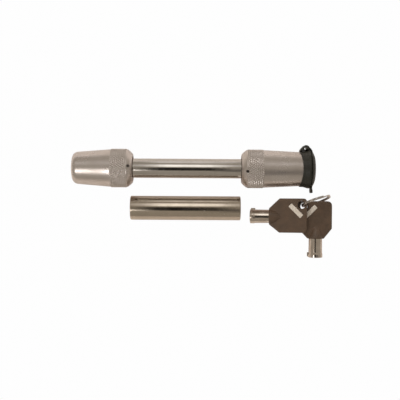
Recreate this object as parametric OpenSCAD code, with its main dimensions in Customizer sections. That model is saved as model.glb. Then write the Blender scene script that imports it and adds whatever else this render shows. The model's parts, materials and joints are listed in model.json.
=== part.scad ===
// Receiver hitch pin lock: a two-headed steel pin with a tubular-key lock head, a rubber dust cap,
// an adapter sleeve for the larger hole size, and two keys on a split ring, laid out on a flat surface.
// +X runs along the pin from the fixed head to the lock head.
// The origin is the middle of the bare shank.

/* [Pin] */
// Diameter of the bare shank
shank_d = 12.7; // [12.6:0.05:12.75]
// Length of bare shank between the two heads
span = 71.4; // [66:0.2:80]
// Diameter of the shank's ends inside the heads
tail_d = 12.1; // [12:0.05:12.2]
// Depth of the locking groove in the shank's tail
groove_depth = 1.2; // [1:0.05:1.3]

/* [Heads] */
// Diameter of the heads over the knurled band
head_d = 25.4; // [25.4:0.1:26.5]
// Length of the fixed head
fixed_head_l = 39.8; // [39:0.2:46]
// Diameter of the fixed head at its rounded outer end
fixed_end_d = 21.1; // [20:0.1:22]
// Radius of the fixed head's rounded outer edge
fixed_edge_r = 3.5; // [2.5:0.1:5]
// Length of the knurled band
knurl_l = 10.6; // [9:0.1:11]
// Diameter of the lock shell where the dust cap starts
shell_end_d = 22.2; // [22:0.1:23]

/* [Lock] */
// Diameter of the lock barrel
barrel_d = 18.9; // [18.6:0.05:18.9]
// Number of pin tumblers around the keyway
tumblers = 7; // [5:1:8]
// Radius of the circle on which the tumblers sit
tumbler_ring_r = 4.26; // [4.24:0.01:4.28]
// Turn of the key from open to locked, in degrees
key_turn = 90; // [80:5:90]
// Travel of the locking bolt into the groove
bolt_travel = 1.25; // [1.1:0.05:1.3]

/* [Dust cap] */
// Outer diameter of the rubber collar at its open end
collar_d = 25.4; // [24:0.1:26]
// Diameter of the hinged lid
lid_d = 24.4; // [24:0.1:25.4]
// Depth of the domed lid
lid_depth = 3.6; // [3.4:0.1:5]

/* [Adapter sleeve] */
// Outer diameter of the sleeve
sleeve_d = 15.875; // [15.8:0.025:15.9]
// Bore of the sleeve
sleeve_bore_d = 12.9; // [12.85:0.05:13]
// Length of the sleeve
sleeve_l = 72.8; // [66:0.2:73]

/* [Keys] */
// Outer diameter of the key tube
tube_d = 9.53; // [9.4:0.01:9.6]
// Bore of the key tube
tube_bore_d = 7.4; // [7.3:0.05:7.6]
// Length of tube that stands out of the bow
tube_l = 12.6; // [11:0.1:14]
// Length of the bow along the tube
bow_l = 24.9; // [24:0.1:27]
// Thickness of the bow
bow_t = 4.4; // [4:0.1:4.6]
// Half width of the bow on the side with the ring hole
bow_hole_side = 12; // [11.6:0.1:12.4]
// Half width of the bow on the other side
bow_plain_side = 10.7; // [9.6:0.1:11]
// Diameter of the ring hole
ring_hole_d = 5.2; // [5:0.1:5.3]

/* [Key ring] */
// Outer diameter of the split ring
ring_d = 20; // [19.8:0.1:20.2]
// Radial thickness of the split ring
ring_wire = 1.3; // [1.2:0.05:1.3]
// Height of the split ring's two stacked turns
ring_stack = 1.5; // [1.2:0.1:1.6]

/* [Hidden] */
$fn = 64;
e = 0.01;                                 // overlap that joins the solids of one node
shank_r = shank_d / 2;
tail_r = tail_d / 2;
head_r = head_d / 2;
floor_z = -head_r;                        // the pin lies on its heads
face = span / 2;                          // inner face of each head
running = 0.1;                            // radial clearance of a running fit

// Lips at the inner end of both heads
mouth_r = 8.9;                            // radius of the inner face
mouth_depth = 1;                          // depth of the counterbore that takes the sleeve's end
mouth_bore_r = sleeve_d / 2 + 0.2;
lip_l = 3.7;                              // length of the chamfered lip
step = 0.3;                               // step down from the knurled band to the smooth taper
band_end = lip_l + knurl_l;

// Fixed head
fixed_end_r = fixed_end_d / 2;
fixed_bore_depth = 26;                    // how far the shank runs into the fixed head
cross_pin_r = 1;
cross_pin_at = 2.3;                       // from the fixed head's inner face
bushing_pin_at = 3.5;                     // from the lock head's inner face
cross_pin_end_r = head_r - 2.4;           // how far out from the pin's axis it reaches
cross_pin_tilt = -5;                      // turn of the fixed head's pin from upright
bushing_pin_tilt = 10;                    // the same for the lock head's pin
barrel_pin_tilt = 140;
barrel_pin_at = 27.5;

// Lock head, with distances measured from its inner face
shell_taper_end = 39.8;
shell_end = 43;
shell_end_r = shell_end_d / 2;
neck_r = 10.6;                            // shell under the dust cap's collar
barrel_bore_r = 9.5;
groove_at = 13;
groove_w = 3;
groove_r = tail_r - groove_depth;
tail_l = 19;
bushing_r = 8.3;
bushing_l = 5;
ring_seal_r = 1;                          // half thickness of the O-ring
ring_seal_gap = 0.05;

// Locking bolt, resting clear of the shank
bolt_t = 2.6;
bolt_w = 8;
bolt_low = tail_r + 0.15;                 // underside when open
bolt_h = 2.6;
arm_w = 4;
arm_t = 1;
arm_low = bolt_low + 1.25;
stud_r = 0.5;
stud_open = arm_low + arm_t / 2;          // stud's distance from the axis when open
stud_locked = stud_open - bolt_travel;
pocket_gap = 0.3;

// Cam, plug and barrel
cam_at = 22;
cam_t = 2;
cam_r = 9.3;
slot_gap = 0.15;
spindle_r = 2.2;
spindle_gap = 0.1;
chamber_r = 6.2;                          // barrel's inner chamber
bushing_at = 24.6;
shear_line = 31;                          // where driver pins end and key pins begin
plug_front = 35.6;
barrel_at = 24.4;
barrel_front = 41.5;
keyway_r = 4.9;
post_r = 3.62;
pin_r = 0.6;
pin_hole_r = 0.65;
lug_reach = 5.9;                          // radius of the notch for the key's lug
lug_w = 1.9;

// Dust cap
collar_at = 38;                           // where the collar's skirt starts on the shell
collar_end = 44.7;
collar_lip_r = 9.6;
skirt_r = shell_end_r + 0.1;               // inside of the collar's skirt
lid_at = 45;
lid_r = lid_d / 2;
spigot_r = 8.6;
spigot_l = 1.6;
hinge_x = face + 41.7;                    // centre of the rubber hinge loop's eye
hinge_y = 13.4;
loop_in = 0.7;
loop_out = 2.85;                          // radius of the loop's crown
crown = [hinge_x + 0.5, 12.9];
loop_w = 8;
loop_foot = 3.6;                          // reach of the loop's foot over the collar
ear_x = lock(45.2);                       // root of the loop on the lid
ear_l = 0.75;
ear_y = 11.5;
tab_reach = 3.5;                          // pull tab beyond the lid's edge
tab_w = 7;
tab_t = 1.6;

// Keys, in their own frame: tube along +X from the neck, ring hole on the -Y side, upper face +Z
tube_r = tube_d / 2;
ring_hole = [3.5 - bow_l, 4.2 - bow_hole_side];
ring_hole_r = ring_hole_d / 2;
neck_half = 5.35;
boss_l = 8.5;
stub_l = 2;                               // tube and tang inside the bow
stub_r = 4.2;
tang = [7, 7, 1.8];
rivet_r = 0.8;
rivet_at = -6;
label = [10.9, 3.1, 0.5];                 // blank inlay in the bow's upper face
label_at = [-17.7, -3.9];

// Layout on the surface
sleeve_y = -26.1;
sleeve_x = -1;
sleeve_z = floor_z + sleeve_d / 2;
key_1_tilt = 9.9;                         // key 1 leans on key 2's bow
key_1_tip = [42.3, -31.3];
key_2_tilt = 1.6;                         // key 2's bow is propped on the ring
key_2_tip = [85.8, -58.5];
ring_yaw = 18;
ring_lean = 11;
ring_r = ring_d / 2;
ring_centre = [85.3, -20.9, floor_z + ring_r * cos(ring_lean) + ring_stack / 2 * sin(ring_lean)];

// Points of an arc about c, from angle a to angle b
function arc(c, r, a, b, n = 8) =
    [for (i = [0:n]) let (t = a + (b - a) * i / n) c + r * [cos(t), sin(t)]];

// Centre of the circle through three points
function circle_centre(p, q, s) =
    let (d = 2 * (p.x * (q.y - s.y) + q.x * (s.y - p.y) + s.x * (p.y - q.y)),
         a = p * p, b = q * q, c = s * s)
    [(a * (q.y - s.y) + b * (s.y - p.y) + c * (p.y - q.y)) / d,
     (a * (s.x - q.x) + b * (p.x - s.x) + c * (q.x - p.x)) / d];

// A profile of [radius, distance] points turned about the pin's axis, from x in direction dir
module turned(x, dir = 1) {
    translate([x, 0, 0]) rotate([0, 90 * dir, 0]) rotate_extrude() children();
}

// A round bar along the pin's axis, from x to x + l
module bar(x, l, r) {
    translate([x, 0, 0]) rotate([0, 90, 0]) cylinder(h = l, r = r);
}

// Distance d from the lock head's inner face, as a place on the X axis
function lock(d) = face + d;

// Outline of a head's chamfered lip and knurled band, from the axis outwards
lip_points = concat(
    [[0, 0], [mouth_r, 0]],
    arc([mouth_r - 0.4, 1.7], 2, -45, 5, 4),
    [[head_r - 0.25, lip_l - 0.4], [head_r, lip_l], [head_r, band_end], [head_r - step, band_end + 0.2]]);

module shank() {
    color("silver") difference() {
        union() {
            bar(-face, span, shank_r);
            bar(-face - fixed_bore_depth, fixed_bore_depth + e, tail_r);
            turned(face - e) polygon([[0, 0], [tail_r, 0], [tail_r, groove_at], [groove_r, groove_at],
                [groove_r, groove_at + groove_w], [tail_r, groove_at + groove_w],
                [tail_r, tail_l - 1], [tail_r - 1, tail_l], [0, tail_l]]);
        }
        head_pin_place() cylinder(h = 4 * head_r, r = cross_pin_r, center = true);
    }
}

// Where the fixed head's cross pin runs
module head_pin_place() {
    translate([-face - cross_pin_at, 0, 0]) rotate([cross_pin_tilt, 0, 0]) children();
}

module fixed_head() {
    outline = concat(lip_points,
        [[fixed_end_r, fixed_head_l - fixed_edge_r - 0.4]],
        arc([fixed_end_r - fixed_edge_r, fixed_head_l - fixed_edge_r - 0.4], fixed_edge_r, 0, 84),
        [[0, fixed_head_l]]);
    color("rosybrown") difference() {
        turned(-face, -1) polygon(outline);
        bar(-face - mouth_depth, mouth_depth + 1, mouth_bore_r);
        bar(-face - fixed_bore_depth, fixed_bore_depth, tail_r);
        head_pin_place() cylinder(h = 4 * head_r, r = cross_pin_r, center = true);
    }
}

module head_cross_pin() {
    color("dimgray") head_pin_place() cylinder(h = 2 * cross_pin_end_r, r = cross_pin_r, center = true);
}

// Where the short pin that holds the lock head's mouth bushing runs
module bushing_pin_place() {
    translate([lock(bushing_pin_at), 0, 0]) rotate([bushing_pin_tilt, 0, 0]) children();
}

// Pocket for the locking bolt, its arm and its travel
module bolt_pocket() {
    translate([lock(groove_at + groove_w / 2 - bolt_t / 2 - pocket_gap), -bolt_w / 2 - pocket_gap, 0])
        cube([bolt_t + 2 * pocket_gap, bolt_w + 2 * pocket_gap, bolt_low + bolt_h + pocket_gap]);
    translate([lock(groove_at + 1), -arm_w / 2 - pocket_gap, 0])
        cube([cam_at - groove_at - 0.6, arm_w + 2 * pocket_gap, arm_low + arm_t + pocket_gap]);
}

module lock_shell() {
    outline = concat(lip_points,
        [[shell_end_r, shell_taper_end - 0.3], [shell_end_r - 0.3, shell_taper_end],
         [neck_r, shell_taper_end], [neck_r, shell_end], [0, shell_end]]);
    color("rosybrown") difference() {
        turned(face) polygon(outline);
        bar(face - 1, mouth_depth + 1, mouth_bore_r);
        bar(face, mouth_depth + bushing_l + 2 * ring_seal_r + 0.2, bushing_r);
        bar(face, tail_l + 0.6, tail_r + running);
        bolt_pocket();
        bar(lock(cam_at - 0.4), shell_end, barrel_bore_r);
        bushing_pin_place() cylinder(h = 2 * head_r, r = cross_pin_r);
        barrel_pin_place() cylinder(h = 2 * head_r, r = cross_pin_r);
    }
}

module mouth_bushing() {
    color("gray") difference() {
        bar(lock(mouth_depth), bushing_l, bushing_r);
        bar(face, 2 * bushing_l, tail_r + running);
        bushing_pin_place() cylinder(h = 2 * head_r, r = cross_pin_r);
    }
}

module bushing_pin() {
    color("dimgray") bushing_pin_place() translate([0, 0, tail_r + 0.5])
        cylinder(h = cross_pin_end_r - tail_r - 0.5, r = cross_pin_r);
}

module shank_o_ring() {
    seal_centre = tail_r + ring_seal_gap + ring_seal_r;
    color("black") turned(lock(mouth_depth + bushing_l + ring_seal_r + 0.1))
        translate([seal_centre, 0]) circle(r = ring_seal_r, $fn = 32);
}

module locking_bolt() {
    color("steelblue") {
        translate([lock(groove_at + groove_w / 2 - bolt_t / 2), -bolt_w / 2, bolt_low])
            cube([bolt_t, bolt_w, bolt_h]);
        translate([lock(groove_at + groove_w / 2), -arm_w / 2, arm_low])
            cube([cam_at - 0.8 - groove_at - groove_w / 2, arm_w, arm_t]);
        translate([lock(cam_at - 1), 0, stud_open]) rotate([0, 90, 0])
            cylinder(h = cam_t + 0.8, r = stud_r);
    }
}

// Slot in which the bolt's stud rides: part of a circle that runs from the open to the locked radius
module cam_slot() {
    half = stud_r + slot_gap;
    mid = (stud_open + stud_locked) / 2;
    open_end = [0, stud_open];
    mid_point = mid * [sin(key_turn / 2), cos(key_turn / 2)];
    locked_end = stud_locked * [sin(key_turn), cos(key_turn)];
    centre = circle_centre(open_end, mid_point, locked_end);
    slot_r = norm(open_end - centre);
    translate([lock(cam_at - 1), 0, 0]) rotate([90, 0, 90]) {
        for (end = [open_end, locked_end])
            translate(end) cylinder(h = cam_t + 2, r = half + 0.05);
        intersection() {
            translate(centre) difference() {
                cylinder(h = cam_t + 2, r = slot_r + half);
                translate([0, 0, -1]) cylinder(h = cam_t + 4, r = slot_r - half);
            }
            linear_extrude(cam_t + 2) polygon([centre, centre + 3 * (open_end - centre),
                3 * mid_point, centre + 3 * (locked_end - centre)]);
        }
    }
}

module lock_cam() {
    color("goldenrod") difference() {
        bar(lock(cam_at), cam_t, cam_r);
        bar(lock(cam_at - 1), cam_t + 2, spindle_r);
        cam_slot();
    }
}

module cam_clip() {
    color("dimgray") difference() {
        bar(lock(cam_at - 0.35), 0.35, spindle_r + 1.2);
        bar(lock(cam_at - 1), 2, spindle_r - 0.3);
        translate([lock(cam_at - 1), -1, -spindle_r - 2]) cube([2, 2, spindle_r + 1]);
    }
}

// One child at each tumbler's place around the axis
module around_tumblers() {
    for (i = [0:tumblers - 1])
        rotate([360 / tumblers * (i + 0.5), 0, 0]) translate([0, 0, tumbler_ring_r]) children();
}

module tumbler_bushing() {
    color("gray") difference() {
        bar(lock(bushing_at), shear_line - bushing_at - 0.05, chamber_r - 0.05);
        bar(lock(bushing_at - 1), shear_line, spindle_r + spindle_gap);
        around_tumblers() bar(lock(bushing_at + 0.7), shear_line, pin_hole_r);
    }
}

module tumbler_springs() {
    color("silver") around_tumblers() difference() {
        bar(lock(bushing_at + 0.8), 2.6, 0.55);
        bar(lock(bushing_at), 4, 0.35);
    }
}

module driver_pins() {
    color("gold") around_tumblers() bar(lock(bushing_at + 3.5), shear_line - bushing_at - 3.6, pin_r);
}

module lock_plug() {
    color("silver") difference() {
        union() {
            bar(lock(shear_line + 0.05), plug_front - shear_line - 0.05, chamber_r - 0.1);
            bar(lock(plug_front - e), barrel_front - 0.6 - plug_front, post_r);
            bar(lock(cam_at - 0.4), shear_line - cam_at + 1, spindle_r);
        }
        around_tumblers() bar(lock(shear_line - 1), plug_front - shear_line + 2, pin_hole_r);
        translate([lock(barrel_front - 2.6), -0.7, post_r - 0.9]) cube([4, 1.4, 4]);
        difference() {
            bar(lock(cam_at - 0.35), 0.35, spindle_r + 1);
            bar(lock(cam_at - 1), 2, spindle_r - 0.3);
        }
    }
}

module key_pins() {
    color("gold") around_tumblers() bar(lock(shear_line + 0.1), plug_front - shear_line + 0.9, pin_r);
}

module barrel_pin_place() {
    translate([lock(barrel_pin_at), 0, 0]) rotate([barrel_pin_tilt, 0, 0]) children();
}

module lock_barrel() {
    color("silver") difference() {
        bar(lock(barrel_at), barrel_front - barrel_at, barrel_d / 2);
        bar(lock(barrel_at - 1), plug_front + 0.1 - barrel_at + 1, chamber_r);
        bar(lock(plug_front), barrel_front, keyway_r);
        bar(lock(37), 2, lug_reach);
        translate([lock(38), -lug_w / 2, 0]) cube([barrel_front, lug_w, lug_reach]);
        barrel_pin_place() translate([0, 0, chamber_r + 1]) cylinder(h = head_r, r = cross_pin_r);
    }
}

module barrel_pin() {
    color("dimgray") barrel_pin_place() translate([0, 0, chamber_r + 1])
        cylinder(h = head_r - 1.2 - chamber_r - 1, r = cross_pin_r);
}

module cap_collar() {
    color("#26261e") turned(face) polygon([[skirt_r, collar_at], [skirt_r + 0.4, collar_at],
        [skirt_r + 0.7, collar_at + 2.5], [collar_d / 2, collar_end - 0.8],
        [collar_d / 2 - 0.3, collar_end], [collar_lip_r, collar_end],
        [collar_lip_r, shell_end], [neck_r, shell_end],
        [neck_r, shell_taper_end], [skirt_r, shell_taper_end]]);
}

module cap_hinge_strap() {
    seat = collar_d / 2 + 0.05;
    color("#26261e") difference() {
        union() {
            translate([crown.x, crown.y, -loop_w / 2]) cylinder(h = loop_w, r = loop_out);
            translate([0, 0, -loop_w / 2]) linear_extrude(loop_w) polygon([
                [hinge_x - loop_foot, skirt_r], [ear_x + ear_l, skirt_r], [ear_x + ear_l, seat],
                [crown.x + 2.5, crown.y + 1.3], crown, [crown.x - 2.4, crown.y + 1.45],
                [hinge_x - loop_foot + 0.5, hinge_y - 0.4]]);
        }
        translate([hinge_x, hinge_y, -loop_w]) cylinder(h = 2 * loop_w, r = loop_in);
        translate([0, 0, -loop_w]) linear_extrude(2 * loop_w) polygon([
            [lock(collar_at - 4), 0], [lock(collar_at - 4), skirt_r + 0.45],
            [lock(collar_at), skirt_r + 0.45],
            [lock(collar_at + 2.5), skirt_r + 0.75], [lock(collar_end - 0.8), seat],
            [lock(collar_end + 5), seat], [lock(collar_end + 5), 0]]);
    }
}

module cap_lid() {
    color("#26261e") {
        turned(lock(lid_at)) polygon([[0, 0], [lid_r - 0.3, 0], [lid_r, lid_depth - 3],
            [lid_r - 0.5, lid_depth - 2.4], [lid_r - 1.6, lid_depth - 1.5],
            [lid_r - 3, lid_depth - 1], [lid_r - 4.3, lid_depth - 0.7],
            [lid_r - 7, lid_depth - 0.15], [lid_r - 9, lid_depth], [0, lid_depth]]);
        bar(lock(lid_at - spigot_l), spigot_l + e, spigot_r);
        translate([ear_x, ear_y, -loop_w / 2]) cube([ear_l, collar_d / 2 - ear_y, loop_w]);
        translate([lock(lid_at), -lid_r - tab_reach, -tab_w / 2]) cube([tab_t, tab_reach + 1.5, tab_w]);
    }
}

module adapter_sleeve() {
    edge = 0.7;
    r = sleeve_d / 2;
    bore = sleeve_bore_d / 2;
    color("tan") translate([sleeve_x, sleeve_y, sleeve_z])
        turned(-sleeve_l / 2) polygon(concat(
            [[bore, 0]], arc([r - edge, edge], edge, -90, 0, 4),
            arc([r - edge, sleeve_l - edge], edge, 0, 90, 4), [[bore, sleeve_l]]));
}

module key_ring() {
    c = 0.3;
    w = ring_wire;
    h = ring_stack / 2;
    color("silver") translate(ring_centre) rotate([0, 0, ring_yaw]) rotate([90 - ring_lean, 0, 0])
        rotate_extrude() translate([ring_r - w, 0])
            polygon([[c, -h], [w - c, -h], [w, c - h], [w, h - c],
                [w - c, h], [c, h], [0, h - c], [0, c - h]]);
}

// Places a key, whose tube runs along +X from its neck at the origin, tip down on the surface
module key_place(tip, heading, tilt) {
    translate([tip.x, tip.y, floor_z + tube_r * cos(tilt)]) rotate([0, 0, heading]) rotate([0, tilt, 0])
        translate([-tube_l, 0, 0]) children();
}

module key_1_place() { key_place(key_1_tip, 180, key_1_tilt) children(); }
module key_2_place() { key_place(key_2_tip, -90, key_2_tilt) children(); }

module tang_shape() {
    bar(-stub_l, stub_l + e, stub_r);
    translate([-stub_l - tang.x, -tang.y / 2, -tang.z / 2]) cube(tang + [2 * e, 0, 0]);
}

module key_bow() {
    color("saddlebrown") difference() {
        union() {
            translate([0, 0, -bow_t / 2]) linear_extrude(bow_t) polygon(concat(
                [[0, -neck_half], [0, neck_half], [-6.7, bow_plain_side]],
                arc([3.3 - bow_l, bow_plain_side - 3.3], 3.3, 90, 180, 6),
                [[-bow_l, 2.4 - bow_hole_side], [2.4 - bow_l, -bow_hole_side], [-7, -bow_hole_side]]));
            rotate([0, -90, 0]) cylinder(h = boss_l, r1 = neck_half, r2 = bow_t / 2);
        }
        translate([ring_hole.x, ring_hole.y, -bow_t]) cylinder(h = 2 * bow_t, r = ring_hole_r);
        tang_shape();
        label_place() cube(label + [0, 0, 1]);
        translate([rivet_at, 0, -bow_t]) cylinder(h = 2 * bow_t, r = rivet_r);
    }
}

module label_place() {
    translate([label_at.x, label_at.y, bow_t / 2 - label.z]) rotate([0, 0, -45])
        translate([-label.x / 2, -label.y / 2, 0]) children();
}

module key_label() {
    color("antiquewhite") label_place() cube([label.x, label.y, label.z - 0.1]);
}

module key_tube() {
    color("lightgray") difference() {
        union() {
            bar(0, tube_l, tube_r);
            tang_shape();
            translate([tube_l - 3.4, -tube_r - 0.8, -0.8]) cube([3, 2, 1.6]);
        }
        bar(1, tube_l, tube_bore_d / 2);
        translate([rivet_at, 0, -bow_t]) cylinder(h = 2 * bow_t, r = rivet_r);
    }
}

module key_rivet() {
    color("gray") translate([rivet_at, 0, -bow_t / 2 + 0.4]) cylinder(h = bow_t - 0.8, r = rivet_r);
}

module key_1_bow() { key_1_place() key_bow(); }
module key_1_tube() { key_1_place() key_tube(); }
module key_1_label() { key_1_place() key_label(); }
module key_1_rivet() { key_1_place() key_rivet(); }
module key_2_bow() { key_2_place() key_bow(); }
module key_2_tube() { key_2_place() key_tube(); }
module key_2_label() { key_2_place() key_label(); }
module key_2_rivet() { key_2_place() key_rivet(); }

shank();
fixed_head();
head_cross_pin();
lock_shell();
mouth_bushing();
bushing_pin();
shank_o_ring();
lock_barrel();
barrel_pin();
tumbler_bushing();
driver_pins();
tumbler_springs();
cap_collar();
cap_hinge_strap();
lock_plug();
key_pins();
lock_cam();
cam_clip();
locking_bolt();
cap_lid();
adapter_sleeve();
key_ring();
key_1_bow();
key_1_tube();
key_1_label();
key_1_rivet();
key_2_bow();
key_2_tube();
key_2_label();
key_2_rivet();
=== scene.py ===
"""Looks of the hitch pin lock: turned and knurled steel, rubber dust cap, adapter sleeve,
and keys on a split ring."""

import json
import math

import bmesh
import bpy
from mathutils import Matrix, Vector


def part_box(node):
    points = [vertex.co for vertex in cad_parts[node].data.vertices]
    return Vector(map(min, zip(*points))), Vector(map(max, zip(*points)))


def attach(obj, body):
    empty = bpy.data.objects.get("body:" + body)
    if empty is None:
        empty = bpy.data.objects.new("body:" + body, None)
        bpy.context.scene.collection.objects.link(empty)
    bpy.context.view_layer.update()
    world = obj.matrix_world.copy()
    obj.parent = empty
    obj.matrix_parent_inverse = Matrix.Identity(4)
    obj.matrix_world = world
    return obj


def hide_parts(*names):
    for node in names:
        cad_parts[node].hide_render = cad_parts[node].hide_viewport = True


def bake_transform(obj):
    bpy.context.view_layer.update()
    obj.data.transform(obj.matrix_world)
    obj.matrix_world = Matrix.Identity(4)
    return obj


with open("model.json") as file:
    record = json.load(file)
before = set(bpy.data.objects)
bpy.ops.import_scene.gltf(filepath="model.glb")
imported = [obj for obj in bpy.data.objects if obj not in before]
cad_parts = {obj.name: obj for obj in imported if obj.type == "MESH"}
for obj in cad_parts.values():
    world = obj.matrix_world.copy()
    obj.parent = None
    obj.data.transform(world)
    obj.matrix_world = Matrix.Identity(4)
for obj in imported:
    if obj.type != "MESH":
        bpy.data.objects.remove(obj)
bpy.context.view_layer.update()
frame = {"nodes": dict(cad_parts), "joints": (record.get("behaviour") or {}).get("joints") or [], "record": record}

MM = 0.001

# ---------------------------------------------------------------- sizes, from the frame


def spans(node):
    """Lowest corner, highest corner and middle of a CAD node, in metres."""
    low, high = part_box(node)
    low, high = Vector(low), Vector(high)
    return low, high, (low + high) / 2


def joint(name):
    return next(j for j in frame["joints"] if j["name"] == name)


def mount(name):
    return next(m for m in frame["record"]["mounts"] if m["name"] == name)


FLOOR = spans("fixed_head")[0].z
# Inner face of each head, either way from the middle
FACE = mount("shank")["dims"]["length_mm"] * MM / 2
SHANK_R = mount("shank")["dims"]["r_mm"] * MM
HEAD_R = spans("fixed_head")[1].z
HEAD_L = -FACE - spans("fixed_head")[0].x
SHELL_END = spans("lock_shell")[1].x - FACE
COLLAR_AT = spans("cap_collar")[0].x - FACE
COLLAR_END = spans("cap_collar")[1].x - FACE
COLLAR_R = spans("cap_collar")[1].z

# Both heads share their lip and knurled band.
LIP_L = 3.7 * MM
KNURL_L = 10.6 * MM
BAND_END = LIP_L + KNURL_L
MOUTH_R = 8.9 * MM
MOUTH_BORE_R = 8.14 * MM
MOUTH_DEPTH = 1 * MM
FIXED_END_R = 10.55 * MM
SHELL_END_R = 11.1 * MM
NECK_R = 10.6 * MM
BARREL_BORE_R = 9.5 * MM

# Retaining pins: place from the head's inner face, and turn from upright in degrees
CROSS_PIN_AT = 2.3 * MM
CROSS_PIN_TILT = -5
BUSHING_PIN_AT = 3.5 * MM
BUSHING_PIN_TILT = 10
PIN_R = 1 * MM
PIN_HOLE_END_R = HEAD_R - 2.5 * MM

# ---------------------------------------------------------------- mesh helpers


def arc(cx, cy, r, a, b, n=8):
    """Points of an arc about (cx, cy), from angle a to b in degrees."""
    angles = [math.radians(a + (b - a) * i / n) for i in range(n + 1)]
    return [(cx + r * math.cos(t), cy + r * math.sin(t)) for t in angles]


def rounded(points, radius, n=5, closed=False):
    """A line of points with its corners rounded. radius is one number, or one for each point."""
    radii = radius if isinstance(radius, (list, tuple)) else [radius] * len(points)
    out = []
    count = len(points)
    for i, (point, r) in enumerate(zip(points, radii)):
        if r <= 0 or (not closed and i in (0, count - 1)):
            out.append(tuple(point))
            continue
        p = Vector(point)
        to_a = Vector(points[i - 1]) - p
        to_b = Vector(points[(i + 1) % count]) - p
        angle = to_a.angle(to_b)
        if angle > math.radians(175):
            out.append(tuple(point))
            continue
        cut = min(r / math.tan(angle / 2), to_a.length * 0.49, to_b.length * 0.49)
        start, end = p + to_a.normalized() * cut, p + to_b.normalized() * cut
        for k in range(n + 1):
            t = k / n
            out.append(tuple((1 - t) ** 2 * start + 2 * t * (1 - t) * p + t * t * end))
    return out


def new_object(name, mesh):
    obj = bpy.data.objects.new(name, mesh)
    bpy.context.scene.collection.objects.link(obj)
    return obj


def mesh_object(name, verts, faces, sharp=35):
    """An object from vertices and faces, closed up, with consistent normals and smooth shading."""
    mesh = bpy.data.meshes.new(name)
    mesh.from_pydata(verts, [], faces)
    bm = bmesh.new()
    bm.from_mesh(mesh)
    bmesh.ops.remove_doubles(bm, verts=bm.verts, dist=1e-7)
    bmesh.ops.recalc_face_normals(bm, faces=bm.faces)
    bm.to_mesh(mesh)
    bm.free()
    return shade(new_object(name, mesh), sharp)


def shade(obj, sharp=35):
    obj.data.shade_smooth()
    obj.data.set_sharp_from_angle(angle=math.radians(sharp))
    return obj


def revolve(profile, segments=160, shift=None, radius=None, closed=False):
    """Vertices and faces of (x, r) points turned about the X axis.
    shift(i, angle) moves ring i along X, and radius(i, angle) replaces its radius."""
    verts, faces = [], []
    rings = len(profile)
    for i, (x, r) in enumerate(profile):
        for k in range(segments):
            angle = 2 * math.pi * k / segments
            rr = radius(i, angle) if radius else r
            xx = x + (shift(i, angle) if shift else 0)
            verts.append((xx, rr * math.cos(angle), rr * math.sin(angle)))
    pairs = [(i, i + 1) for i in range(rings - 1)] + ([(rings - 1, 0)] if closed else [])
    for i, j in pairs:
        for k in range(segments):
            m = (k + 1) % segments
            faces.append((i * segments + k, i * segments + m, j * segments + m, j * segments + k))
    return verts, faces


def turned(name, profile, centre=(0, 0, 0), sharp=35, **how):
    """A turned piece about the X axis through centre."""
    verts, faces = revolve(profile, **how)
    obj = mesh_object(name, verts, faces, sharp)
    obj.data.transform(Matrix.Translation(centre))
    return obj


def plate(name, outline, thick, bevel=0.0, segments=3):
    """A flat outline in XY, thick either side of z 0, with rounded edges."""
    mesh = bpy.data.meshes.new(name)
    bm = bmesh.new()
    ring = [bm.verts.new((x, y, -thick / 2)) for x, y in outline]
    base = bm.faces.new(ring)
    top = bmesh.ops.extrude_face_region(bm, geom=[base])["geom"]
    raised = [v for v in top if isinstance(v, bmesh.types.BMVert)]
    bmesh.ops.translate(bm, verts=raised, vec=(0, 0, thick))
    bmesh.ops.recalc_face_normals(bm, faces=bm.faces)
    if bevel:
        rim = [e for e in bm.edges if abs(e.verts[0].co.z - e.verts[1].co.z) < 1e-9]
        bmesh.ops.bevel(bm, geom=rim, offset=bevel, segments=segments, profile=0.5, affect="EDGES")
    bm.to_mesh(mesh)
    bm.free()
    return shade(new_object(name, mesh))


def apply_modifiers(obj):
    bpy.context.view_layer.update()
    evaluated = obj.evaluated_get(bpy.context.evaluated_depsgraph_get())
    mesh = bpy.data.meshes.new_from_object(evaluated)
    obj.modifiers.clear()
    old, obj.data = obj.data, mesh
    bpy.data.meshes.remove(old)
    return obj


def carve(obj, tool, how="DIFFERENCE"):
    """Cuts tool out of obj, or joins it to obj, and deletes tool.
    It works in millimetres, which the solver needs."""
    for each in (obj, tool):
        each.data.transform(Matrix.Scale(1 / MM, 4))
    mod = obj.modifiers.new("carve", "BOOLEAN")
    mod.operation = how
    mod.object = tool
    mod.solver = "MANIFOLD"
    apply_modifiers(obj)
    obj.data.transform(Matrix.Scale(MM, 4))
    bpy.data.objects.remove(tool)
    return obj


def rod(name, start, end, r, segments=48):
    """A plain round bar between two points, used as a cutting tool."""
    start, end = Vector(start), Vector(end)
    mesh = bpy.data.meshes.new(name)
    bm = bmesh.new()
    length = (end - start).length
    bmesh.ops.create_cone(bm, cap_ends=True, segments=segments, radius1=r, radius2=r, depth=length)
    turn = (end - start).to_track_quat("Z", "Y").to_matrix().to_4x4()
    bmesh.ops.transform(bm, matrix=Matrix.Translation((start + end) / 2) @ turn, verts=bm.verts)
    bm.to_mesh(mesh)
    bm.free()
    return new_object(name, mesh)


def soften(obj, voxel, rounds):
    """Turns a hard-edged solid into a moulded one: an even remesh, then a light smoothing.
    It works in millimetres."""
    obj.data.transform(Matrix.Scale(1 / MM, 4))
    mod = obj.modifiers.new("remesh", "REMESH")
    mod.mode = "VOXEL"
    mod.voxel_size = voxel / MM
    smooth = obj.modifiers.new("smooth", "SMOOTH")
    smooth.factor = 0.5
    smooth.iterations = rounds
    apply_modifiers(obj)
    obj.data.transform(Matrix.Scale(MM, 4))
    return shade(obj, 180)


# ---------------------------------------------------------------- materials


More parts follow.
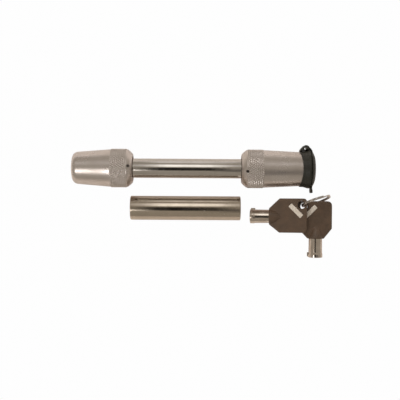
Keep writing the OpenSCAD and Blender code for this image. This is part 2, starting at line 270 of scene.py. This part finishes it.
class Nodes:
    """A material's nodes, made and linked in few words."""

    def __init__(self, name):
        self.material = bpy.data.materials.new(name)
        self.material.use_nodes = True
        self.tree = self.material.node_tree
        self.shader = next(n for n in self.tree.nodes if n.type == "BSDF_PRINCIPLED")

    def add(self, kind, inputs=None, **settings):
        node = self.tree.nodes.new(kind)
        for key, value in settings.items():
            setattr(node, key, value)
        for key, value in (inputs or {}).items():
            if isinstance(value, bpy.types.NodeSocket):
                self.tree.links.new(value, node.inputs[key])
            else:
                node.inputs[key].default_value = value
        return node

    def set(self, **values):
        for key, value in values.items():
            socket = self.shader.inputs[key.replace("_", " ")]
            if isinstance(value, bpy.types.NodeSocket):
                self.tree.links.new(value, socket)
            else:
                socket.default_value = value

    def place(self, scale=(1, 1, 1)):
        """Object coordinates, stretched by scale."""
        where = self.add("ShaderNodeTexCoord").outputs["Object"]
        return self.add("ShaderNodeMapping", {"Vector": where, "Scale": scale}).outputs["Vector"]

    def noise(self, vector, scale, detail=3, rough=0.55):
        return self.add("ShaderNodeTexNoise", {"Vector": vector, "Scale": scale, "Detail": detail,
                                               "Roughness": rough}).outputs["Fac"]

    def ramp(self, fac, low, high, start=0.35, end=0.65):
        """Maps fac from start..end to low..high."""
        return self.add("ShaderNodeMapRange", {"Value": fac, "From Min": start, "From Max": end,
                                               "To Min": low, "To Max": high}).outputs["Result"]

    def mix(self, fac, a, b):
        node = self.add("ShaderNodeMix", data_type="RGBA")
        for index, value in ((0, fac), (6, a), (7, b)):
            if isinstance(value, bpy.types.NodeSocket):
                self.tree.links.new(value, node.inputs[index])
            else:
                node.inputs[index].default_value = value if index == 0 else (*value, 1)
        return node.outputs[2]

    def add_up(self, a, b):
        return self.add("ShaderNodeMath", {0: a, 1: b}, operation="ADD").outputs[0]

    def bump(self, height, strength, distance, normal=None):
        inputs = {"Height": height, "Strength": strength, "Distance": distance}
        if normal is not None:
            inputs["Normal"] = normal
        return self.add("ShaderNodeBump", inputs).outputs["Normal"]


def turned_steel(name, light, dark, rough, line_scale, line_depth):
    """Steel finished on a lathe: fine rings round X, soft smudges and a few faint handling marks."""
    n = Nodes(name)
    along = n.place((1, 0.02, 0.02))
    lines = n.noise(along, line_scale, 4, 0.7)
    cloud = n.noise(n.place(), 90, 3)
    scuff = n.noise(n.place((1, 6, 6)), 260, 5, 0.7)
    n.set(Metallic=1.0)
    n.set(Base_Color=n.mix(n.ramp(cloud, 0, 1), light, dark))
    n.set(Roughness=n.add_up(n.ramp(cloud, rough, rough + 0.08), n.ramp(scuff, 0, 0.12, 0.62, 0.72)))
    fine = n.bump(lines, 0.6, line_depth)
    n.set(Normal=n.bump(scuff, 0.15, 0.00003, fine))
    return n.material


def bright_plate(name, light, dark, rough):
    """Nickel plate: glossy, slightly uneven, with thin wear."""
    n = Nodes(name)
    cloud = n.noise(n.place(), 220, 4)
    wear = n.noise(n.place(), 1100, 6, 0.75)
    n.set(Metallic=1.0)
    n.set(Base_Color=n.mix(n.ramp(cloud, 0, 1), light, dark))
    n.set(Roughness=n.add_up(n.ramp(cloud, rough, rough + 0.06), n.ramp(wear, 0, 0.15, 0.6, 0.75)))
    n.set(Normal=n.bump(cloud, 0.25, 0.00008))
    return n.material


def plain_metal(name, light, dark, rough):
    """Unplated small metal parts with a thin film of oil."""
    n = Nodes(name)
    cloud = n.noise(n.place(), 700, 5, 0.65)
    n.set(Metallic=1.0)
    n.set(Base_Color=n.mix(n.ramp(cloud, 0, 1), light, dark))
    n.set(Roughness=n.ramp(cloud, rough, rough + 0.15))
    n.set(Normal=n.bump(cloud, 0.3, 0.00003))
    return n.material


def moulded(name, light, dark, rough, grain, grain_depth, wear=0.0, worn=(0.2, 0.17, 0.14)):
    """Moulded plastic or rubber: fine grain, soft mottling and paler rubbed patches."""
    n = Nodes(name)
    mottle = n.noise(n.place(), 160, 4)
    fine = n.noise(n.place(), grain, 3, 0.6)
    rubbed = n.ramp(n.noise(n.place(), 420, 6, 0.7), 0, wear, 0.55, 0.75)
    n.set(Base_Color=n.mix(rubbed, n.mix(n.ramp(mottle, 0, 1), light, dark), worn))
    n.set(Roughness=n.ramp(mottle, rough, rough + 0.1))
    n.set(Normal=n.bump(fine, 0.35, grain_depth))
    return n.material


# Each slot's maker, with its light and dark colours, roughness and the sizes of its detail
RECIPES = {
    "polished_steel": (turned_steel, (0.59, 0.56, 0.52), (0.54, 0.51, 0.47), 0.10, 2600, 0.000012),
    "sleeve_steel": (turned_steel, (0.55, 0.48, 0.40), (0.50, 0.44, 0.36), 0.12, 2600, 0.000012),
    "head_steel": (turned_steel, (0.66, 0.61, 0.58), (0.60, 0.55, 0.51), 0.26, 3800, 0.00003),
    "dark_steel": (plain_metal, (0.20, 0.18, 0.17), (0.11, 0.10, 0.09), 0.35),
    "plated_lock": (bright_plate, (0.66, 0.64, 0.60), (0.58, 0.55, 0.50), 0.16),
    "plated_tube": (bright_plate, (0.66, 0.60, 0.53), (0.56, 0.49, 0.42), 0.10),
    "ring_steel": (bright_plate, (0.66, 0.62, 0.58), (0.55, 0.51, 0.47), 0.14),
    "brass": (plain_metal, (0.72, 0.52, 0.24), (0.55, 0.38, 0.16), 0.25),
    "seal_rubber": (moulded, (0.02, 0.02, 0.02), (0.014, 0.014, 0.014), 0.4, 2500, 0.00003),
    "cap_rubber": (moulded, (0.022, 0.022, 0.015), (0.015, 0.015, 0.010), 0.38, 3000, 0.00004,
                   0.12, (0.06, 0.06, 0.05)),
    "bow_plastic": (moulded, (0.142, 0.092, 0.060), (0.108, 0.072, 0.048), 0.34, 2600, 0.00005,
                    0.2, (0.17, 0.13, 0.10)),
    "label_plastic": (moulded, (0.93, 0.86, 0.76), (0.86, 0.77, 0.67), 0.45, 2200, 0.00003,
                      0.4, (0.62, 0.52, 0.42)),
}
LOOKS = {slot: make(slot, *values) for slot, (make, *values) in RECIPES.items()}

for entry in frame["record"]["subparts"]:
    node = frame["nodes"][entry["node"]]
    node.data.materials.clear()
    node.data.materials.append(LOOKS[entry["material_slot"]])


def piece(obj, body, slot, *nodes):
    """Dresses a new piece, sets it on its body and lets it stand for its CAD nodes."""
    obj.data.materials.clear()
    obj.data.materials.append(LOOKS[slot])
    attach(obj, body)
    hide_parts(*nodes)
    return obj


# ---------------------------------------------------------------- heads

GROOVES = 56              # knurl grooves round the band, each way
KNURL_DEPTH = 0.42 * MM
KNURL_HELIX = math.tan(math.radians(30))
KNURL_ROWS = 60
BAND_EDGE = 0.35 * MM     # plain bevel at each end of the band
TAPER_START = (BAND_END + 0.15 * MM, HEAD_R - 0.38 * MM)
FIXED_END_ROUNDING = 4.375 * MM


def saw(turns):
    """0 at a groove and 1 halfway to the next."""
    part = turns % 1
    return 1 - abs(2 * part - 1)


def knurl_radius(x, angle):
    """Radius of the diamond knurl at x from the inner face."""
    lead = x / HEAD_R * KNURL_HELIX / (2 * math.pi)
    around = angle / (2 * math.pi)
    height = min(saw(GROOVES * (around + lead)), saw(GROOVES * (around - lead)))
    height = min(1, 1.35 * height)
    edge = min(x - LIP_L, BAND_END - x) / BAND_EDGE
    return HEAD_R - KNURL_DEPTH * (1 - min(height, max(0.0, edge)))


def head_profile(outer):
    """Profile (x, r) of a head from the counterbore to its outer end, and where its knurl starts and ends."""
    corners = [(MOUTH_DEPTH, 0.5 * MOUTH_BORE_R), (MOUTH_DEPTH, MOUTH_BORE_R), (0, MOUTH_BORE_R),
               (0, MOUTH_R + 0.5 * MM), (1.3 * MM, MOUTH_R + 1.9 * MM),
               (LIP_L - 0.5 * MM, HEAD_R - 0.35 * MM), (LIP_L, HEAD_R - KNURL_DEPTH)]
    lip = rounded(corners, [0, 0.05 * MM, 0.2 * MM, 1.1 * MM, 1.2 * MM, 0.6 * MM, 0])
    step = KNURL_L / KNURL_ROWS
    band = [(LIP_L + step * (i + 0.5), HEAD_R) for i in range(KNURL_ROWS)]
    return lip + band + outer, len(lip), len(lip) + len(band)


def head(name, outer):
    profile, first, last = head_profile(outer)

    def radius(i, angle):
        x, r = profile[i]
        return knurl_radius(x, angle) if first <= i < last else r

    return turned(name, profile, segments=GROOVES * 10, radius=radius, sharp=50)


def fixed_head():
    corners = [TAPER_START, (HEAD_L - 0.3 * MM, FIXED_END_R - 0.25 * MM), (HEAD_L, 0.0)]
    outer = rounded(corners, [0, FIXED_END_ROUNDING, 0], n=14)
    obj = head("fixed_head_turned", outer[:-1] + [(HEAD_L, 0.4 * MM)])
    obj.data.transform(Matrix.Translation((-FACE, 0, 0)) @ Matrix.Rotation(math.pi, 4, "Z"))
    close_ends(obj)
    for side in (0, 180):
        drill(obj, -FACE - CROSS_PIN_AT, CROSS_PIN_TILT + side)
    return piece(obj, "pin", "head_steel", "fixed_head")


def lock_shell():
    corners = [TAPER_START, (COLLAR_AT + 1.7 * MM, SHELL_END_R), (COLLAR_AT + 1.9 * MM, NECK_R),
               (SHELL_END, NECK_R), (SHELL_END, BARREL_BORE_R), (SHELL_END - 4 * MM, BARREL_BORE_R)]
    outer = rounded(corners, [0, 0.15 * MM, 0.1 * MM, 0.2 * MM, 0.2 * MM, 0])
    obj = head("lock_shell_turned", outer)
    obj.data.transform(Matrix.Translation((FACE, 0, 0)))
    close_ends(obj)
    drill(obj, FACE + BUSHING_PIN_AT, BUSHING_PIN_TILT)
    return piece(obj, "lock_head", "head_steel", "lock_shell")


def close_ends(obj):
    """Caps the open rings at a turned piece's ends."""
    bm = bmesh.new()
    bm.from_mesh(obj.data)
    open_edges = [e for e in bm.edges if len(e.link_faces) == 1]
    bmesh.ops.holes_fill(bm, edges=open_edges, sides=0)
    bmesh.ops.recalc_face_normals(bm, faces=bm.faces)
    bm.to_mesh(obj.data)
    bm.free()


def drill(obj, x, tilt):
    """Opens the hole over the outer end of the retaining pin at x, which is turned from upright by tilt."""
    turn = math.radians(tilt)
    axis = Vector((0, -math.sin(turn), math.cos(turn)))
    start = Vector((x, 0, 0)) + axis * PIN_HOLE_END_R
    return shade(carve(obj, rod("drill", start, start + axis * 4 * MM, PIN_R)), 50)


# ---------------------------------------------------------------- shank and sleeve


def shank():
    """The bare shank, its stub in the fixed head and its tail with the locking groove."""
    end = spans("shank")[1].x
    tail = SHANK_R - 0.3 * MM
    groove = tail - 1.2 * MM
    at, wide = FACE + 13 * MM, 3 * MM
    profile = [(-FACE - MOUTH_DEPTH, 0.0), (-FACE - MOUTH_DEPTH, tail), (-FACE, tail), (-FACE, SHANK_R),
               (FACE, SHANK_R), (FACE, tail), (at, tail), (at, groove),
               (at + wide, groove), (at + wide, tail), (end, tail), (end, 0.0)]
    radii = [0, 0, 0, 0.1, 0.1, 0.05, 0.3, 0.3, 0.3, 0.3, 1.1, 0]
    line = rounded(profile, [r * MM for r in radii])
    return piece(turned("shank_turned", line), "pin", "polished_steel", "shank")


def sleeve():
    low, high, middle = spans("adapter_sleeve")
    r = (high.z - low.z) / 2
    bore = mount("sleeve_bore")["dims"]["r_mm"] * MM
    profile = rounded([(low.x, bore), (low.x, r), (high.x, r), (high.x, bore)],
                      [0.35 * MM, 0.7 * MM, 0.7 * MM, 0.35 * MM], closed=True, n=6)
    obj = turned("sleeve_turned", profile, (0, middle.y, middle.z), closed=True)
    return piece(obj, "sleeve", "sleeve_steel", "adapter_sleeve")


# ---------------------------------------------------------------- dust cap

SCALLOP = 1.5 * MM        # how far the collar's skirt draws back over the top and bottom of the head


def cap_collar():
    skirt = SHELL_END_R + 0.12 * MM
    profile = [(COLLAR_AT, skirt), (COLLAR_AT, skirt + 0.45 * MM), (COLLAR_AT + 2.6 * MM, skirt + 0.6 * MM),
               (COLLAR_END - 1 * MM, COLLAR_R), (COLLAR_END, COLLAR_R - 0.1 * MM), (COLLAR_END, 9.6 * MM),
               (SHELL_END, 9.6 * MM), (SHELL_END, NECK_R), (COLLAR_AT + 2 * MM, NECK_R),
               (COLLAR_AT + 2 * MM, skirt)]
    radii = [0.1, 0.3, 1.5, 0.8, 0.4, 0.4, 0, 0, 0, 0]
    line = rounded(profile, [r * MM for r in radii], closed=True)

    def shift(i, angle):
        reach = max(0, 1 - (line[i][0] - COLLAR_AT) / (2 * MM))
        return SCALLOP * reach * math.sin(angle) ** 2

    obj = turned("cap_collar_moulded", line, (FACE, 0, 0), closed=True, shift=shift)
    return piece(obj, "lock_head", "cap_rubber", "cap_collar")


def cap_lid():
    low, high = spans("cap_lid")[:2]
    r = high.z
    face = COLLAR_END + 0.3 * MM
    end = high.x - FACE
    spigot = 8.6 * MM
    start = low.x - FACE
    corners = [(start, 0.3 * MM), (start, spigot - 0.4 * MM), (face, spigot), (face, r - 0.5 * MM),
               (face + 0.5 * MM, r), (end - 2.0 * MM, r - 0.9 * MM), (end - 0.8 * MM, r * 0.73),
               (end, 0.3 * MM)]
    profile = rounded(corners, [0, 0.5 * MM, 0.3 * MM, 0.3 * MM, 0.5 * MM, 1.6 * MM, 5 * MM, 0], n=8)
    obj = turned("cap_lid_moulded", profile, (FACE, 0, 0))
    close_ends(obj)
    carve(obj, lid_tab(low), "UNION")
    carve(obj, lid_ear(), "UNION")
    return piece(shade(obj, 40), "lid", "cap_rubber", "cap_lid")


def lid_tab(low):
    """Rounded pull tab at the lid's free edge."""
    x = FACE + COLLAR_END + 0.4 * MM
    reach, half = low.y, 3.3 * MM
    corners = [(x, reach + 6 * MM), (x, reach + 1.2 * MM), (x + 0.2 * MM, reach), (x + 1.45 * MM, reach),
               (x + 1.45 * MM, reach + 1.6 * MM), (x + 1.1 * MM, reach + 3.2 * MM),
               (x + 1.5 * MM, reach + 6 * MM)]
    return plate("tab", rounded(corners, 0.6 * MM, closed=True), 2 * half, 0.5 * MM)


def lid_ear():
    """Root of the hinge loop on the lid."""
    x = FACE + COLLAR_END + 0.5 * MM
    top = COLLAR_R - 0.02 * MM
    outline = [(x, top - 3 * MM), (x + 1.6 * MM, top - 3 * MM), (x + 0.72 * MM, top), (x, top)]
    return plate("ear", outline, 7.6 * MM, 0.2 * MM)


def cap_loop():
    """Rubber hinge loop, which bends from the collar to the lid."""
    hx, hy = joint("lid_hinge")["pos_m"][:2]
    right = FACE + COLLAR_END + 0.5 * MM
    knee = FACE + COLLAR_AT + 2.5 * MM
    foot = COLLAR_R + 0.06 * MM
    crown = arc(hx + 0.35 * MM, hy - 0.4 * MM, 2.6 * MM, 150, 25, 16)
    outline = crown + [(right + 0.72 * MM, foot), (FACE + COLLAR_END - 0.8 * MM, foot),
                       (knee, SHELL_END_R + 0.88 * MM), (hx - 3.5 * MM, SHELL_END_R + 0.6 * MM),
                       (hx - 3.05 * MM, hy - 0.35 * MM)]
    obj = plate("cap_loop_moulded", rounded(outline, 0.25 * MM, closed=True, n=3), 7.8 * MM, 0.25 * MM)
    carve(obj, rod("eye", (hx, hy, -8 * MM), (hx, hy, 8 * MM), 0.85 * MM))
    shade(obj, 40)
    obj.data.materials.clear()
    obj.data.materials.append(LOOKS["cap_rubber"])
    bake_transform(obj)
    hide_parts("cap_hinge_strap")
    return obj


# ---------------------------------------------------------------- keys

BOW_L = 24.9 * MM
BOW_T = 4.4 * MM
NECK_HALF = 5.35 * MM
HOLE_SIDE = 12 * MM
PLAIN_SIDE = 10.7 * MM
TUBE_L = 12.6 * MM
TUBE_R = 4.765 * MM
TUBE_BORE_R = 3.7 * MM
RING_HOLE = (3.5 * MM - BOW_L, 4.2 * MM - HOLE_SIDE)
RING_HOLE_R = 2.6 * MM
LABEL = (10.9 * MM, 3.1 * MM, 0.5 * MM)
LABEL_AT = (-17.7 * MM, -3.9 * MM)


def key_matrix(tip, heading, tilt):
    """Where a key's own frame goes: tube along +X from the neck, tip down on the surface."""
    rest = Matrix.Translation((tip[0], tip[1], FLOOR + TUBE_R * math.cos(tilt)))
    turn = Matrix.Rotation(heading, 4, "Z") @ Matrix.Rotation(tilt, 4, "Y")
    return rest @ turn @ Matrix.Translation((-TUBE_L, 0, 0))


# Each key as it lies: its tip's place, the way its tube points, and its tilt
KEYS = {
    "key_1": key_matrix((42.3 * MM, -31.3 * MM), math.pi, math.radians(9.9)),
    "key_2": key_matrix((85.8 * MM, -58.5 * MM), -math.pi / 2, math.radians(1.6)),
}


def label_matrix(lift):
    return Matrix.Translation((*LABEL_AT, lift)) @ Matrix.Rotation(-math.pi / 4, 4, "Z")


def bow_outline():
    """Outline of the bow, with the corners rounded."""
    points = [(0, -NECK_HALF), (0, NECK_HALF), (-6.7 * MM, PLAIN_SIDE), (-BOW_L, PLAIN_SIDE),
              (-BOW_L, -HOLE_SIDE), (-7 * MM, -HOLE_SIDE)]
    return rounded(points, [0.3 * MM, 0.5 * MM, 1.2 * MM, 3.3 * MM, 2.4 * MM, 1.2 * MM], n=6, closed=True)


def boss():
    """The tube's root: a rounded boss that runs out into the bow."""
    reach = 8.5 * MM
    line = [(0.0, 0.0), (0.0, NECK_HALF - 0.1 * MM)]
    line += [(-reach * t, NECK_HALF - 0.1 * MM - 3.4 * MM * t ** 1.5) for t in (0.2, 0.4, 0.6, 0.8, 1)]
    line += [(-reach - 0.8 * MM, 0.0)]
    return turned("boss", line, segments=64)


def key_bow(name):
    obj = plate(name + "_bow_moulded", bow_outline(), BOW_T, 0.55 * MM)
    carve(obj, boss(), "UNION")
    hole = rod("hole", (*RING_HOLE, -BOW_T), (*RING_HOLE, BOW_T), RING_HOLE_R)
    carve(obj, hole)
    a, b = LABEL[0] / 2, LABEL[1] / 2
    pocket = plate("pocket", [(-a, -b), (a, -b), (a, b), (-a, b)], 2 * LABEL[2])
    pocket.data.transform(label_matrix(BOW_T / 2))
    carve(obj, pocket)
    soften(obj, 0.16 * MM, 3)
    obj.data.transform(KEYS[name])
    return piece(obj, name, "bow_plastic", name + "_bow")


def key_label(name):
    a, b = LABEL[0] / 2 - 0.06 * MM, LABEL[1] / 2 - 0.06 * MM
    outline = rounded([(-a, -b), (a, -b), (a, b), (-a, b)], 0.35 * MM, closed=True)
    obj = plate(name + "_label_inset", outline, LABEL[2] - 0.12 * MM, 0.1 * MM)
    obj.data.transform(KEYS[name] @ label_matrix(BOW_T / 2 - LABEL[2] / 2 - 0.05 * MM))
    return piece(obj, name, "label_plastic", name + "_label")


def key_tube(name):
    """The tube, closed at its root, with a slight flare at the tip and the lug that guides it."""
    root, tip = -2 * MM, TUBE_L
    corners = [(root, 0.0), (root, TUBE_R - 0.55 * MM), (0, TUBE_R - 0.35 * MM),
               (tip - 3.4 * MM, TUBE_R - 0.25 * MM), (tip - 2.2 * MM, TUBE_R), (tip, TUBE_R),
               (tip, TUBE_BORE_R), (1 * MM, TUBE_BORE_R), (1 * MM, 0.0)]
    profile = rounded(corners, [0, 0, 0, 1.5 * MM, 1.5 * MM, 0.35 * MM, 0.2 * MM, 0, 0], n=6)
    obj = turned(name + "_tube_turned", profile)
    side, top = -TUBE_R - 0.75 * MM, -TUBE_R + 0.6 * MM
    outline = [(tip - 3.3 * MM, side), (tip - 0.5 * MM, side), (tip - 0.5 * MM, top), (tip - 3.3 * MM, top)]
    lug = plate("lug", rounded(outline, 0.3 * MM, closed=True, n=3), 1.5 * MM, 0.2 * MM)
    carve(obj, lug, "UNION")
    shade(obj, 40)
    obj.data.transform(KEYS[name])
    return piece(obj, name, "plated_tube", name + "_tube")


# ---------------------------------------------------------------- split ring

RING_R = 10 * MM
WIRE = 1.3 * MM
STACK = 1.5 * MM
TURNS_SHOWN = 1.94        # turns that the wire makes
STEP_LENGTH = math.radians(55)
RING_START = 60           # where round the ring the wire begins, in degrees
RING_YAW = 18
RING_LEAN = 11


def split_ring():
    """Flattened wire wound into two turns, with one step between them and rounded cut ends."""
    half_r, half_h = WIRE / 2, STACK / 4 - 0.01 * MM
    corners = [(-half_r, -half_h), (half_r, -half_h), (half_r, half_h), (-half_r, half_h)]
    section = rounded(corners, 0.25 * MM, closed=True, n=3)
    steps = 300
    verts, faces = [], []
    total = TURNS_SHOWN * 2 * math.pi
    for i in range(steps + 1):
        angle = total * i / steps
        t = min(1, max(0, (angle - total / 2) / STEP_LENGTH + 0.5))
        level = (STACK / 4) * (2 * (3 * t * t - 2 * t ** 3) - 1)
        close = min(i, steps - i) / 3
        size = math.sqrt(min(1, close)) * 0.5 + 0.5 if close < 1 else 1
        for a, b in section:
            r = RING_R - half_r + a * size
            verts.append((r * math.cos(angle), r * math.sin(angle), level + b * size))
    m = len(section)
    for i in range(steps):
        for k in range(m):
            n = (k + 1) % m
            faces.append((i * m + k, i * m + n, (i + 1) * m + n, (i + 1) * m + k))
    faces.append(tuple(range(m)))
    faces.append(tuple(reversed(range(steps * m, (steps + 1) * m))))
    obj = mesh_object("split_ring_wound", verts, faces)
    turn = joint("ring_turn")
    lean = Matrix.Rotation(math.radians(90 - RING_LEAN), 4, "X")
    facing = Matrix.Rotation(math.radians(RING_YAW), 4, "Z") @ lean
    start = Matrix.Rotation(math.radians(RING_START), 4, "Z")
    obj.data.transform(Matrix.Translation(turn["pos_m"]) @ facing @ start)
    return piece(obj, "ring", "ring_steel", "key_ring")


# ---------------------------------------------------------------- light, floor and camera


def glow(name, color, matt=(0, 0, 0)):
    """A surface that gives off an even light, over a matt colour of its own."""
    n = Nodes(name)
    n.set(Base_Color=(*matt, 1), Roughness=1.0, Specular_IOR_Level=0.0)
    n.set(Emission_Color=(*color, 1), Emission_Strength=1.0)
    return n.material


def stage_plane(name, middle, size, material, aim=None):
    """A flat panel round the set, level or facing aim."""
    x, y = size[0] / 2, size[1] / 2
    mesh = bpy.data.meshes.new(name)
    mesh.from_pydata([(-x, -y, 0), (x, -y, 0), (x, y, 0), (-x, y, 0)], [], [(0, 1, 2, 3)])
    obj = new_object(name, mesh)
    obj.location = middle
    if aim:
        obj.rotation_euler = (Vector(aim) - Vector(middle)).to_track_quat("Z", "Y").to_euler()
    obj.data.materials.append(material)
    return obj


def soft_lamp(place, size, power):
    """A lamp over the set whose own shape isn't mirrored in the metal."""
    lamp = bpy.data.lights.new("soft_lamp", "AREA")
    lamp.shape, lamp.size, lamp.energy = "DISK", size, power
    obj = bpy.data.objects.new("soft_lamp", lamp)
    bpy.context.scene.collection.objects.link(obj)
    obj.location = place
    obj.rotation_euler = Vector(place).to_track_quat("Z", "Y").to_euler()
    obj.visible_glossy = False


FLOOR_GLOW = {"floor_back": (0.15, 0.14, 0.15), "floor_front": (0.17, 0.14, 0.135)}
FLOOR_MATT = (0.9, 0.84, 0.77)
FLOOR_SIZE = (6, 3)

# Light and dark panels that the metal mirrors: name, middle, size, glow and the point that it faces
PANELS = (
    ("dark_card", (-0.02, -0.13, 0.60), (0.22, 0.36), (0.015, 0.014, 0.012), None),
    ("dim_card", (0.36, -0.33, 0.60), (0.54, 0.42), (0.20, 0.18, 0.16), None),
    ("key_box", (-0.005, 0.285, 0.51), (0.18, 0.29), (1.6, 1.55, 1.5), (0, 0, 0)),
    ("back_soft", (0, 0.36, 0.60), (1.2, 0.26), (0.60, 0.56, 0.52), (0, 0, 0)),
    ("back_wall", (0, 0.80, 0.20), (0.26, 0.44), (0.85, 0.80, 0.77), (0, 0, 0.1)),
    ("horizon", (0, 0.90, 0.045), (3, 0.12), (0.80, 0.74, 0.70), (0, 0, 0.045)),
    ("left_box", (-0.27, -0.25, 0.52), (0.22, 0.20), (3.8, 3.65, 3.55), (-0.05, 0, 0)),
)


def studio():
    """Pale floor, panels, lamp and surrounding light."""
    scene = bpy.context.scene
    scene.view_settings.view_transform = "Standard"
    world = bpy.data.worlds.new("studio")
    world.use_nodes = True
    world.node_tree.nodes["Background"].inputs["Color"].default_value = (0.40, 0.36, 0.31, 1)
    world.node_tree.nodes["Background"].inputs["Strength"].default_value = 1.0
    scene.world = world
    seen = stage_plane("floor_seen", (0, 0, FLOOR - 0.02 * MM), (6, 6), glow("white", (0.99, 0.99, 0.99)))
    seen.visible_glossy = seen.visible_diffuse = seen.visible_shadow = seen.visible_transmission = False
    for name, side in (("floor_back", 1), ("floor_front", -1)):
        middle = (0, side * FLOOR_SIZE[1] / 2, FLOOR - 0.04 * MM)
        lit = stage_plane(name, middle, FLOOR_SIZE, glow(name, FLOOR_GLOW[name], FLOOR_MATT))
        lit.visible_camera = False
    for name, middle, size, color, aim in PANELS:
        stage_plane(name, middle, size, glow(name, color), aim)
    soft_lamp((-0.03, 0.32, 0.50), 0.30, 2.1)


CAMERA_AT = Vector((8.6 * MM, -20.7 * MM, 500 * MM))
SEEN = 263.2 * MM         # width that the camera sees at the pin's height
ROLL = math.radians(0.35)


def camera():
    """A camera straight above the set, at the photograph's viewing angle."""
    data = bpy.data.cameras.new("camera")
    data.sensor_width = 36
    data.lens = data.sensor_width * CAMERA_AT.z / SEEN
    data.clip_start, data.clip_end = 0.01, 20
    obj = bpy.data.objects.new("camera", data)
    bpy.context.scene.collection.objects.link(obj)
    obj.location = CAMERA_AT
    obj.rotation_euler = (0, 0, ROLL)
    bpy.context.scene.camera = obj


camera()
studio()
fixed_head()
lock_shell()
shank()
sleeve()
cap_collar()
cap_lid()
cap_loop()
for key in KEYS:
    key_bow(key)
    key_label(key)
    key_tube(key)
split_ring()
